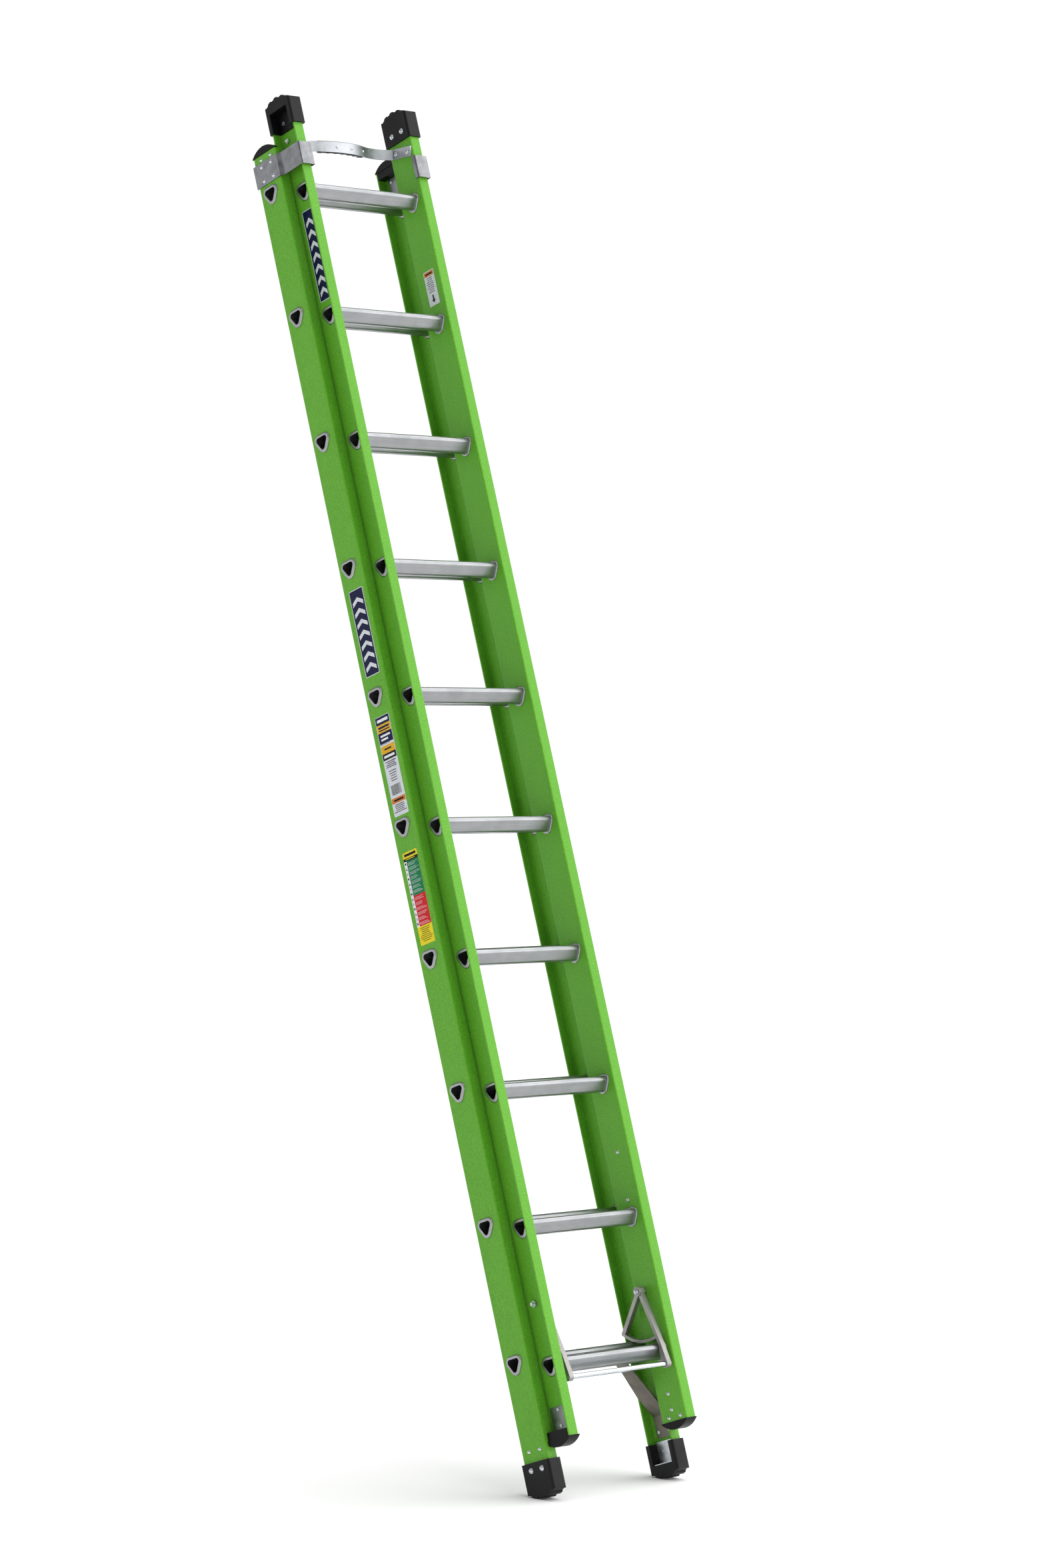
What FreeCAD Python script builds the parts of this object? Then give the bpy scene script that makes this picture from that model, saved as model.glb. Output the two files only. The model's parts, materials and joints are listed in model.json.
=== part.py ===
"""Two-section fibreglass extension ladder, closed and leaning at its working angle.

Everything is drawn in the rail frame and then leaned back as one.
Rail frame, millimetres: X across the rungs, Y from the climber towards the wall, Z up the rails.
Y = 0 is the fly section's front face and Z = 0 is the fly's lowest rung.
Right-hand pieces (X > 0) are drawn, and left-hand pieces mirror them about X = 0.
"""
import FreeCAD, Part
import math
import os

from FreeCAD import Placement, Rotation, Vector

os.makedirs("parts", exist_ok=True)
doc = FreeCAD.newDocument("extension_ladder")

# ---------------------------------------------------------------- driving dimensions
DRIVING = {
    "lean_angle": 17.7,
    "rung_pitch": 300,
    "rung_count": 10,
    "section_length": 3060,
    "channel_depth": 79,
    "channel_width": 27.3,
    "wall_thickness": 4,
    "fly_web_inside": 160,
    "base_web_outside": 197,
    "base_front": 70,
    "fly_bottom": -153,
    "base_bottom": -240,
    "fly_rung_depth": 38.5,
    "base_rung_depth": 112.5,
    "base_rung_rise": 20,
    "rung_wall": 2.2,
    "collar_flare": 4.8,
    "collar_width": 3.5,
    "boot_wall": 5,
    "sole_radius": 76,
    "tread_radius": 10,
    "tread_flat": 0.6,
    "cap_rise": 18,
    "cap_plug": 17,
    "sheet_thickness": 3,
    "bracket_height": 54,
    "bracket_bottom": 2748,
    "strap_width": 24,
    "strap_tilt": 14,
    "strap_depth": 39,
    "strap_level": 2826,
    "pivot_depth": 45.6,
    "pivot_level": 136.5,
    "pivot_radius": 4,
    "pivot_clearance": 0.05,
    "lock_inner_face": 139,
    "lock_thickness": 12,
    "rod_radius": 5.8,
    "rod_depth": 9.8,
    "rod_level": -31,
    "small_rivet": 2.4,
    "large_rivet": 3.2,
}

dims = doc.addObject("Spreadsheet::Sheet", "dims")
for row, (alias, value) in enumerate(DRIVING.items(), start=1):
    dims.set(f"A{row}", alias)
    dims.set(f"B{row}", str(value))
    dims.setAlias(f"B{row}", alias)
doc.recompute()


def dim(alias):
    """A driving dimension's value, as the sheet holds it."""
    return float(dims.get(alias))


LEAN = math.radians(dim("lean_angle"))
PITCH = dim("rung_pitch")
RUNGS = int(dim("rung_count"))
DEPTH = dim("channel_depth")
WIDTH = dim("channel_width")
WALL = dim("wall_thickness")
FLY_X = dim("fly_web_inside")
BASE_X = dim("base_web_outside")
BASE_Y = dim("base_front")
FLY_TOP = dim("fly_bottom") + dim("section_length")
BASE_TOP = dim("base_bottom") + dim("section_length")
FLY_RUNG_Y = dim("fly_rung_depth")
BASE_RUNG_Y = dim("base_rung_depth")
BASE_RUNG_Z = dim("base_rung_rise")
SHEET = dim("sheet_thickness")
SMALL = dim("small_rivet")
LARGE = dim("large_rivet")
PIVOT = (dim("pivot_depth"), dim("pivot_level"))
ROD = (dim("rod_depth"), dim("rod_level"))

# The foot's sole is an arc of treads about this centre, and one tread faces straight down when leaned.
BOOT_SIDE = dim("boot_wall")
SOLE = dim("sole_radius")
FOOT_EDGE = -189
FOOT_CENTRE_Z = FOOT_EDGE - 2
BOOT_EDGE = 2852
BOOT_CENTRE_Z = BOOT_EDGE + 1
floor_reach = SOLE - dim("tread_flat")
contact = Vector(
    0,
    BASE_Y + DEPTH / 2 + floor_reach * math.sin(LEAN),
    FOOT_CENTRE_Z - floor_reach * math.cos(LEAN),
)
lean = Rotation(Vector(1, 0, 0), -dim("lean_angle"))
LEANED = Placement(-lean.multVec(contact), lean)

sub_parts = []


# ---------------------------------------------------------------- helpers
def named(feature, label):
    """Gives a finished sub-part its node name and leans it with the rest."""
    feature.Label = label
    feature.Placement = LEANED
    sub_parts.append(feature)
    return feature


def mirrored(source, label):
    """The left-hand twin of a right-hand sub-part."""
    twin = doc.addObject("Part::Mirroring", label)
    twin.Source = source
    twin.Normal = Vector(1, 0, 0)
    twin.Label = label
    sub_parts.append(twin)
    return twin


def new_body(name):
    return doc.addObject("PartDesign::Body", name)


def draw(body, plane, offset, loops):
    """A sketch on one of the body's own planes, moved along the plane's normal by offset."""
    sketch = body.newObject("Sketcher::SketchObject", body.Name + "_sketch")
    for origin_plane in body.Origin.OriginFeatures:
        if origin_plane.Role == plane + "_Plane":
            sketch.AttachmentSupport = (origin_plane, [""])
    sketch.MapMode = "FlatFace"
    if isinstance(offset, str):
        sketch.setExpression("AttachmentOffset.Base.z", offset)
    else:
        sketch.AttachmentOffset = Placement(Vector(0, 0, offset), Rotation())
    for loop in loops:
        sketch.addGeometry(loop, False)
    return sketch


def pad(body, sketch, length):
    feature = body.newObject("PartDesign::Pad", body.Name + "_pad")
    feature.Profile = sketch
    if isinstance(length, str):
        feature.setExpression("Length", length)
    else:
        feature.Length = length
    body.Tip = feature
    return feature


def pocket(body, sketch, length):
    """Cuts along the sketch's normal, whichever way the kernel counts as forward."""
    doc.recompute()
    before = body.Shape.Volume
    feature = body.newObject("PartDesign::Pocket", body.Name + "_pocket")
    feature.Profile = sketch
    feature.Reversed = True
    if isinstance(length, str):
        feature.setExpression("Length", length)
    else:
        feature.Length = length
    body.Tip = feature
    doc.recompute()
    if body.Shape.Volume >= before - 1e-3:
        raise RuntimeError(f"{body.Name}: a pocket cut nothing")
    return feature


def fillet(body, radius, wanted):
    """Rounds the edges of the body's tip for which wanted(edge) is true."""
    doc.recompute()
    base = body.Tip
    names = [f"Edge{i + 1}" for i, edge in enumerate(base.Shape.Edges) if wanted(edge)]
    feature = body.newObject("PartDesign::Fillet", body.Name + "_fillet")
    feature.Base = (base, names)
    feature.Radius = radius
    body.Tip = feature
    return feature


def polygon(points):
    """Straight edges through points, closed."""
    corners = [Vector(x, y, 0) for x, y in points]
    following = corners[1:] + corners[:1]
    return [Part.LineSegment(a, b) for a, b in zip(corners, following)]


def rectangle(x0, y0, x1, y1):
    return polygon([(x0, y0), (x1, y0), (x1, y1), (x0, y1)])


def circle(x, y, radius):
    return [Part.Circle(Vector(x, y, 0), Vector(0, 0, 1), radius)]


def rounded(points, radii):
    """A closed outline through points, each corner an arc of its own radius (0 keeps it sharp)."""
    corners = [Vector(x, y, 0) for x, y in points]
    count = len(corners)
    starts, ends, middles = [], [], []
    for i, corner in enumerate(corners):
        back = (corners[i - 1] - corner).normalize()
        ahead = (corners[(i + 1) % count] - corner).normalize()
        half = back.getAngle(ahead) / 2
        reach = radii[i] / math.tan(half)
        starts.append(corner + back * reach)
        ends.append(corner + ahead * reach)
        bisector = (back + ahead).normalize()
        middles.append(corner + bisector * (radii[i] / math.sin(half) - radii[i]))
    edges = []
    for i in range(count):
        if radii[i]:
            edges.append(Part.Arc(starts[i], middles[i], ends[i]))
        edges.append(Part.LineSegment(ends[i], starts[(i + 1) % count]))
    return edges


def belt(circles):
    """The outline of a taut belt round circles (x, y, radius) listed anticlockwise."""
    count = len(circles)
    angles = []
    for i in range(count):
        x0, y0, r0 = circles[i]
        x1, y1, r1 = circles[(i + 1) % count]
        gap = math.hypot(x1 - x0, y1 - y0)
        angles.append(math.atan2(y1 - y0, x1 - x0) - math.acos((r0 - r1) / gap))

    def rim(index, angle):
        x, y, radius = circles[index]
        return Vector(x + radius * math.cos(angle), y + radius * math.sin(angle), 0)

    edges = []
    for i in range(count):
        turn = (angles[i] - angles[i - 1]) % (2 * math.pi)
        entry = rim(i, angles[i - 1])
        leave = rim(i, angles[i])
        edges.append(Part.Arc(entry, rim(i, angles[i - 1] + turn / 2), leave))
        edges.append(Part.LineSegment(leave, rim((i + 1) % count, angles[i])))
    return edges


def in_channel(section, across, deep):
    """X and Y of a point given from a channel's closed face and from its front edge."""
    if section == "fly":
        return FLY_X + across, deep
    return BASE_X - across, BASE_Y + deep


def channel_loop(section):
    """The C-section: web on the closed side, flanges reaching across, rounded outside corners."""
    points = [
        (0, 0),
        (WIDTH, 0),
        (WIDTH, WALL),
        (WALL, WALL),
        (WALL, DEPTH - WALL),
        (WIDTH, DEPTH - WALL),
        (WIDTH, DEPTH),
        (0, DEPTH),
    ]
    radii = [3.5, 1.2, 1.2, 2, 2, 1.2, 1.2, 3.5]
    return rounded([in_channel(section, a, d) for a, d in points], radii)


def channel_box(section, across0, deep0, across1, deep1):
    x0, y0 = in_channel(section, across0, deep0)
    x1, y1 = in_channel(section, across1, deep1)
    return rectangle(min(x0, x1), y0, max(x0, x1), y1)


RUNG_ARCS = [(0, -7.5, 10), (11, 7.5, 9), (-11, 7.5, 9)]


def rung_loop(y, z, grow):
    """The rung's rounded triangle: flat tread up, sides tapering to a round keel."""
    return belt([(y + across, z + up, radius + grow) for across, up, radius in RUNG_ARCS])


def outside_rung(y, z):
    """How far a point stands outside the rung's outline, measured from the rung's centre."""
    farthest = -math.inf
    for step in range(120):
        angle = math.radians(3 * step)
        across, up = math.cos(angle), math.sin(angle)
        outline = max(across * arc[0] + up * arc[1] + arc[2] for arc in RUNG_ARCS)
        farthest = max(farthest, across * y + up * z - outline)
    return farthest


def fastener(base, axis, head, rim, shank, grip, tail=0):
    """A turned fastener: domed head standing on base along axis, shank back through the grip.

    rim is the straight height under the dome, and tail the height of a rivet's set end (0 for none).
    """
    crown = head * 0.55
    ball = (head * head + crown * crown) / (2 * crown)
    half_angle = math.asin(head / ball) / 2
    shoulder = Vector(ball * math.sin(half_angle), 0, rim + crown - ball + ball * math.cos(half_angle))
    top = Vector(0, 0, rim + crown)
    corners = [Vector(head, 0, rim), Vector(head, 0, 0), Vector(shank, 0, 0), Vector(shank, 0, -grip)]
    if tail:
        corners += [Vector(shank * 1.5, 0, -grip), Vector(shank * 1.5, 0, -grip - tail)]
    corners += [Vector(0, 0, -grip - tail), top]
    edges = [Part.Arc(top, shoulder, corners[0]).toShape()]
    for start, end in zip(corners[:-1], corners[1:]):
        if start != end:
            edges.append(Part.LineSegment(start, end).toShape())
    solid = Part.Face(Part.Wire(edges)).revolve(Vector(0, 0, 0), Vector(0, 0, 1), 360)
    solid.Placement = Placement(base, Rotation(Vector(0, 0, 1), axis))
    return solid


def group(label, shapes):
    """Identical fasteners kept together as separate solids of one node."""
    feature = doc.addObject("Part::Feature", label)
    feature.Shape = Part.makeCompound(shapes)
    return named(feature, label)


def both_sides(points):
    """Right-hand points (x, y, z) and their left-hand mirror images, with the outward direction."""
    pairs = []
    for x, y, z in points:
        pairs.append((Vector(x, y, z), 1))
        pairs.append((Vector(-x, y, z), -1))
    return pairs


# ---------------------------------------------------------------- fastener places, as (y, z)
FOOT_RIVETS = [(90.5, -205), (125.5, -205)]
BRACE_RIVETS = [(90.5, -165), (125.5, -165)]
BASE_CAP_RIVETS = [(90, 2810), (124, 2810)]
BRACKET_RIVETS = [(90, 2758.5), (124.5, 2758.5), (90, 2792.5), (124.5, 2792.5)]
BOOT_RIVETS = [(20, 2873), (55, 2873)]
FLY_PLATE_RIVETS = [(41, -92.5), (41, -127.5)]
FLY_CAP_RIVETS = [(18.5, -144), (54.5, -144)]
STOP_RIVETS = [(37, 446), (37, 338)]


def tilted(u, w):
    """Y and Z of a point in the pole strap's own level plane: u towards the wall, w up."""
    tilt = math.radians(dim("strap_tilt"))
    y = dim("strap_depth") + u * math.cos(tilt) - w * math.sin(tilt)
    z = dim("strap_level") + u * math.sin(tilt) + w * math.cos(tilt)
    return y, z


STRAP_BOLTS_U = [-23.5, 17]
STRAP_BOLT_RADIUS = 3


# ---------------------------------------------------------------- stiles
def make_stile(section, bottom, rung_y, rung_z, small_holes, large_holes, bolt_holes):
    body = new_body(section + "_stile")
    pad(body, draw(body, "XY", f"dims.{section}_bottom", [channel_loop(section)]), "dims.section_length")
    web_x = FLY_X if section == "fly" else BASE_X - WALL
    pocket(body, draw(body, "YZ", web_x - 1, [rung_loop(rung_y, rung_z, 0)]), WALL + 2)
    first = body.Tip
    doc.recompute()
    steps = body.newObject("PartDesign::LinearPattern", section + "_rung_holes")
    steps.Originals = [first]
    steps.Direction = (plane_axis(body, "Z_Axis"), [""])
    steps.setExpression("Length", "dims.rung_pitch * (dims.rung_count - 1)")
    steps.setExpression("Occurrences", "dims.rung_count")
    body.Tip = steps
    holes = [circle(y, z, SMALL) for y, z in small_holes]
    holes += [circle(y, z, LARGE) for y, z in large_holes]
    holes += [circle(y, z, radius) for y, z, radius in bolt_holes]
    pocket(body, draw(body, "YZ", web_x - 1, holes), WALL + 2)
    return body


def plane_axis(body, role):
    for feature in body.Origin.OriginFeatures:
        if feature.Role == role:
            return feature
    raise KeyError(role)


fly_bolts = [tilted(u, 0) + (STRAP_BOLT_RADIUS,) for u in STRAP_BOLTS_U]
fly_bolts.append(PIVOT + (dim("pivot_radius"),))
fly_stile = make_stile(
    "fly",
    dim("fly_bottom"),
    FLY_RUNG_Y,
    0,
    FLY_PLATE_RIVETS + FLY_CAP_RIVETS,
    BOOT_RIVETS,
    fly_bolts,
)
fly_stile.Placement = LEANED
mirrored(fly_stile, "fly_stile_left")

# The right-hand fly stile alone has a second pair of rivets above its second rung.
drills = []
for y, z in STOP_RIVETS:
    drill = doc.addObject("Part::Cylinder", "stop_drill")
    drill.setExpression("Radius", "dims.small_rivet")
    drill.setExpression("Height", "dims.wall_thickness + 2")
    drill.Placement = LEANED.multiply(Placement(Vector(FLY_X - 1, y, z), Rotation(Vector(0, 1, 0), 90)))
    drills.append(drill)
stop_holes = doc.addObject("Part::MultiFuse", "stop_holes")
stop_holes.Shapes = drills
drilled_stile = doc.addObject("Part::Cut", "fly_stile_drilled")
drilled_stile.Base = fly_stile
drilled_stile.Tool = stop_holes
drilled_stile.Label = "fly_stile_right"
sub_parts.append(drilled_stile)
base_stile = make_stile(
    "base",
    dim("base_bottom"),
    BASE_RUNG_Y,
    BASE_RUNG_Z,
    BRACE_RIVETS + BASE_CAP_RIVETS + BRACKET_RIVETS,
    FOOT_RIVETS,
    [],
)
named(base_stile, "base_stile_right")
mirrored(base_stile, "base_stile_left")


# ---------------------------------------------------------------- rungs
def make_rung(section, index, y, z, web_inner, web_outer):
    """A hollow rung through both webs, swaged into a flared collar on each side of each web."""
    body = new_body(f"{section}_rung_{index + 1:02d}")
    tube = [rung_loop(y, z, 0), rung_loop(y, z, -dim("rung_wall"))]
    collar = [rung_loop(y, z, dim("collar_flare")), rung_loop(y, z, -dim("rung_wall"))]
    width = dim("collar_width")
    end = web_outer + width
    pad(body, draw(body, "YZ", -end, [*tube]), 2 * end)
    for start in (-end, -web_inner, web_inner - width, web_outer):
        pad(body, draw(body, "YZ", start, [*collar]), "dims.collar_width")

    def collar_rim(edge):
        box = edge.BoundBox
        flat = box.XLength < 1e-6
        on_face = any(abs(abs(box.XMin) - x) < 1e-6 for x in (end, web_inner - width))
        middle = edge.valueAt((edge.FirstParameter + edge.LastParameter) / 2)
        return flat and on_face and outside_rung(middle.y - y, middle.z - z) > 1

    fillet(body, 3, collar_rim)
    return named(body, f"{section}_rung_{index + 1:02d}")


for number in range(RUNGS):
    make_rung("fly", number, FLY_RUNG_Y, number * PITCH, FLY_X, FLY_X + WALL)
for number in range(RUNGS):
    level = BASE_RUNG_Z + number * PITCH
    make_rung("base", number, BASE_RUNG_Y, level, BASE_X - WALL, BASE_X)


# ---------------------------------------------------------------- rubber boots: base feet and fly tops
def make_boot(label, section, edge_z, centre_z, stile_end, up, rivets):
    """A moulded boot round a channel's end: skirt, window on the channel's open side, treaded sole."""
    body = new_body(label)
    _, front = in_channel(section, 0, -BOOT_SIDE)
    _, rear = in_channel(section, 0, DEPTH + BOOT_SIDE)
    middle = (front + rear) / 2
    valley = SOLE - 3.5
    half = (rear - front) / 2
    shoulder = centre_z + up * math.sqrt(valley * valley - half * half)
    arc = Part.Arc(
        Vector(front, shoulder, 0), Vector(middle, centre_z + up * valley, 0), Vector(rear, shoulder, 0)
    )
    skirt = [
        Part.LineSegment(Vector(front, edge_z, 0), Vector(front, shoulder, 0)),
        arc,
        Part.LineSegment(Vector(rear, shoulder, 0), Vector(rear, edge_z, 0)),
        Part.LineSegment(Vector(rear, edge_z, 0), Vector(front, edge_z, 0)),
    ]
    x0, _ = in_channel(section, -BOOT_SIDE, 0)
    x1, _ = in_channel(section, WIDTH + BOOT_SIDE, 0)
    low, high = min(x0, x1), max(x0, x1)
    pad(body, draw(body, "YZ", low, [skirt]), high - low)

    tread = dim("tread_radius")
    treads = []
    flats = []
    for step in range(-2, 3):
        angle = step * LEAN
        out = Vector(math.sin(angle), up * math.cos(angle), 0)
        along = Vector(out.y, -out.x, 0)
        hub = Vector(middle, centre_z, 0)
        seat = hub + out * (SOLE - tread)
        treads.append(circle(seat.x, seat.y, tread))
        face = hub + out * (SOLE - dim("tread_flat"))
        near, far = face - along * 6, face + along * 6
        corners = [near, far, far + out * 3, near + out * 3]
        flats.append(polygon([(c.x, c.y) for c in corners]))
    pad(body, draw(body, "YZ", low, treads), high - low)
    pocket(body, draw(body, "YZ", low - 1, flats), high - low + 2)
    overhang = 6
    trims = [
        rectangle(front - overhang, edge_z, front, centre_z + up * SOLE),
        rectangle(rear, edge_z, rear + overhang, centre_z + up * SOLE),
    ]
    pocket(body, draw(body, "YZ", low - 1, trims), high - low + 2)
    fillet(body, 5, lambda edge: is_upright(edge, 20))

    start = min(edge_z, stile_end)
    pocket(body, draw(body, "XY", start, [channel_loop(section)]), abs(stile_end - edge_z))
    window = channel_box(section, WALL + 4, 9, WIDTH + BOOT_SIDE + 5, DEPTH - 9)
    height = 46
    pocket(body, draw(body, "XY", min(edge_z, edge_z + up * height), [window]), height)
    holes = [circle(y, z, LARGE) for y, z in rivets]
    closed_face = FLY_X - BOOT_SIDE if section == "fly" else BASE_X + BOOT_SIDE
    reach = BOOT_SIDE + WALL + 4 + 1
    hole_start = closed_face - 0.5 if section == "fly" else closed_face - reach + 0.5
    pocket(body, draw(body, "YZ", hole_start, holes), reach)
    return named(body, label)


def is_upright(edge, longer_than):
    box = edge.BoundBox
    return box.ZLength > longer_than and box.XLength < 1e-6 and box.YLength < 1e-6


boot = make_boot("fly_top_boot_right", "fly", BOOT_EDGE, BOOT_CENTRE_Z, FLY_TOP, 1, BOOT_RIVETS)
mirrored(boot, "fly_top_boot_left")
foot = make_boot(
    "base_foot_right", "base", FOOT_EDGE, FOOT_CENTRE_Z, dim("base_bottom"), -1, FOOT_RIVETS
)
mirrored(foot, "base_foot_left")


# ---------------------------------------------------------------- domed end caps
def make_cap(section, end_z, up, notch, plug_from, plug_to):
    """A lens-shaped cap over a channel's open end, notched where the other section's flange runs by."""
    label = f"{section}_end_cap_right"
    body = new_body(label)
    lip = 1.5
    _, front = in_channel(section, 0, -lip)
    _, rear = in_channel(section, 0, DEPTH + lip)
    x0, _ = in_channel(section, -lip, 0)
    x1, _ = in_channel(section, WIDTH + lip, 0)
    low, high = min(x0, x1), max(x0, x1)
    rim = end_z + up * 1.5
    dome = [
        Part.LineSegment(Vector(front, end_z, 0), Vector(front, rim, 0)),
        Part.Arc(
            Vector(front, rim, 0),
            Vector((front + rear) / 2, end_z + up * dim("cap_rise"), 0),
            Vector(rear, rim, 0),
        ),
        Part.LineSegment(Vector(rear, rim, 0), Vector(rear, end_z, 0)),
        Part.LineSegment(Vector(rear, end_z, 0), Vector(front, end_z, 0)),
    ]
    pad(body, draw(body, "YZ", low, [dome]), high - low)
    corners = [(WALL, plug_from), (WIDTH, plug_from), (WIDTH, plug_to), (WALL, plug_to)]
    plug = rounded([in_channel(section, across, deep) for across, deep in corners], [2.5, 1, 1, 2.5])
    plug_start = end_z if up < 0 else end_z - dim("cap_plug")
    pad(body, draw(body, "XY", plug_start, [plug]), "dims.cap_plug")
    span = dim("cap_rise") + dim("cap_plug") + 2
    start = end_z - dim("cap_plug") - 1 if up > 0 else end_z - dim("cap_rise") - 1
    pocket(body, draw(body, "XY", start, [notch]), span)
    return named(body, label)


FLANGE_GAP = 1.3
fly_notch = rectangle(
    BASE_X - WIDTH - FLANGE_GAP, BASE_Y - FLANGE_GAP, BASE_X, BASE_Y + WALL + 12
)
fly_cap = make_cap("fly", dim("fly_bottom"), -1, fly_notch, WALL, BASE_Y - FLANGE_GAP)
mirrored(fly_cap, "fly_end_cap_left")
base_notch = rectangle(FLY_X, BASE_Y - 3, FLY_X + WIDTH + FLANGE_GAP, DEPTH + FLANGE_GAP)
base_plug_from = DEPTH + FLANGE_GAP - BASE_Y
base_cap = make_cap("base", BASE_TOP, 1, base_notch, base_plug_from, DEPTH - WALL)
mirrored(base_cap, "base_end_cap_left")


# ---------------------------------------------------------------- sheet metal
def sheet_plate(label, x0, x1, y0, y1, z0, z1, hole_places, hole_radius):
    """A flat plate against a web, with rivet holes."""
    body = new_body(label)
    pad(body, draw(body, "XY", z0, [rectangle(x0, y0, x1, y1)]), z1 - z0)
    holes = [circle(y, z, hole_radius) for y, z in hole_places]
    pocket(body, draw(body, "YZ", x0 - 1, holes), x1 - x0 + 2)
    return body


def make_bracket():
    """Guide bracket: riveted outside the base's web, jogs in beside the fly and hooks round its front."""
    body = new_body("guide_bracket_right")
    outer = BASE_X + SHEET
    jogged = outer - 7.5
    front = -8
    lip = FLY_X - 5
    points = [
        (outer, BASE_Y + DEPTH + 3),
        (outer, BASE_Y - 4),
        (jogged, BASE_Y - 12),
        (jogged, front),
        (lip, front),
        (lip, front + 13),
        (lip + SHEET, front + 13),
        (lip + SHEET, front + SHEET),
        (jogged - SHEET, front + SHEET),
        (jogged - SHEET, BASE_Y - 11),
        (BASE_X, BASE_Y - 3),
        (BASE_X, BASE_Y + DEPTH + 3),
    ]
    radii = [0, 4, 3, 4, 4, 0, 0, 1.2, 1.2, 4, 2, 0]
    strip = [rounded(points, radii)]
    pad(body, draw(body, "XY", "dims.bracket_bottom", strip), "dims.bracket_height")
    holes = [circle(y, z, SMALL) for y, z in BRACKET_RIVETS]
    pocket(body, draw(body, "YZ", BASE_X - 1, holes), SHEET + 2)
    return named(body, "guide_bracket_right")


bracket = make_bracket()
mirrored(bracket, "guide_bracket_left")
web_inside = BASE_X - WALL
top_plate = sheet_plate(
    "base_top_plate_right", web_inside - SHEET, web_inside, 82.5, 134, 2750, 2801, BRACKET_RIVETS, SMALL
)
named(top_plate, "base_top_plate_right")
mirrored(top_plate, "base_top_plate_left")
PLATE = 2.5
fly_outer = FLY_X + WALL
fly_plate = sheet_plate(
    "fly_bottom_plate_right", fly_outer, fly_outer + PLATE, 25, 67, -134, -86, FLY_PLATE_RIVETS, SMALL
)
named(fly_plate, "fly_bottom_plate_right")
mirrored(fly_plate, "fly_bottom_plate_left")


def make_foot_plate():
    """An angle inside the foot's window: one leg against the boot's liner, one along the window's sill."""
    liner = BASE_X - WALL - 4
    sill = FOOT_EDGE - 46
    low_y = BASE_Y + 9.5
    high_y = BASE_Y + DEPTH - 9.5
    body = sheet_plate(
        "foot_plate_right", liner - 2, liner, low_y, high_y, sill, FOOT_EDGE + 4, FOOT_RIVETS, LARGE
    )
    sill_leg = rectangle(liner - 21, low_y, liner - 1, high_y)
    pad(body, draw(body, "XY", sill, [sill_leg]), 2)
    return named(body, "foot_plate_right")


foot_plate = make_foot_plate()
mirrored(foot_plate, "foot_plate_left")

BRACE_TAB_X = 72
KEEL = BASE_RUNG_Z - 17.5


def make_brace():
    """A flat bent strut from the lowest base rung's underside down to the web above the foot."""
    body = new_body("bottom_brace_right")
    bend = -129
    low = -178
    points = [
        (web_inside, low),
        (web_inside, bend),
        (96, KEEL),
        (58, KEEL),
        (58, KEEL - SHEET),
        (94.5, KEEL - SHEET),
        (web_inside - SHEET, bend - 0.9),
        (web_inside - SHEET, low),
    ]
    radii = [0, 8, 6, 0, 0, 9, 5, 0]
    front, rear = 88, 134
    pad(body, draw(body, "XZ", -rear, [rounded(points, radii)]), rear - front)
    taper = polygon([(134.5, -85), (121, -24), (121, 5), (140, 5), (140, -85)])
    pocket(body, draw(body, "YZ", 50, [taper]), 145)
    holes = [circle(y, z, SMALL) for y, z in BRACE_RIVETS]
    pocket(body, draw(body, "YZ", web_inside - SHEET - 1, holes), SHEET + 2)
    tab_hole = [circle(BRACE_TAB_X, BASE_RUNG_Y - 6, SMALL)]
    pocket(body, draw(body, "XY", KEEL - SHEET - 1, tab_hole), SHEET + 2)
    return named(body, "bottom_brace_right")


brace = make_brace()
mirrored(brace, "bottom_brace_left")


# ---------------------------------------------------------------- pole strap
STRAP_PLACE = LEANED.multiply(
    Placement(
        Vector(0, dim("strap_depth"), dim("strap_level")), Rotation(Vector(1, 0, 0), dim("strap_tilt"))
    )
)
STRAP = 1.5
BOW_HUB = Vector(0, 183.5, 0)
BOW_RADIUS = 168
HORN_HUB = Vector(112, -60, 0)
HORN_RADIUS = 100
BEND_HUB = Vector(154.5, 26.1, 0)
BEND_RADIUS = 4
TAB_END = -35


def polar(hub, radius, degrees):
    angle = math.radians(degrees)
    return Vector(hub.x + radius * math.cos(angle), hub.y + radius * math.sin(angle), 0)


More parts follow.
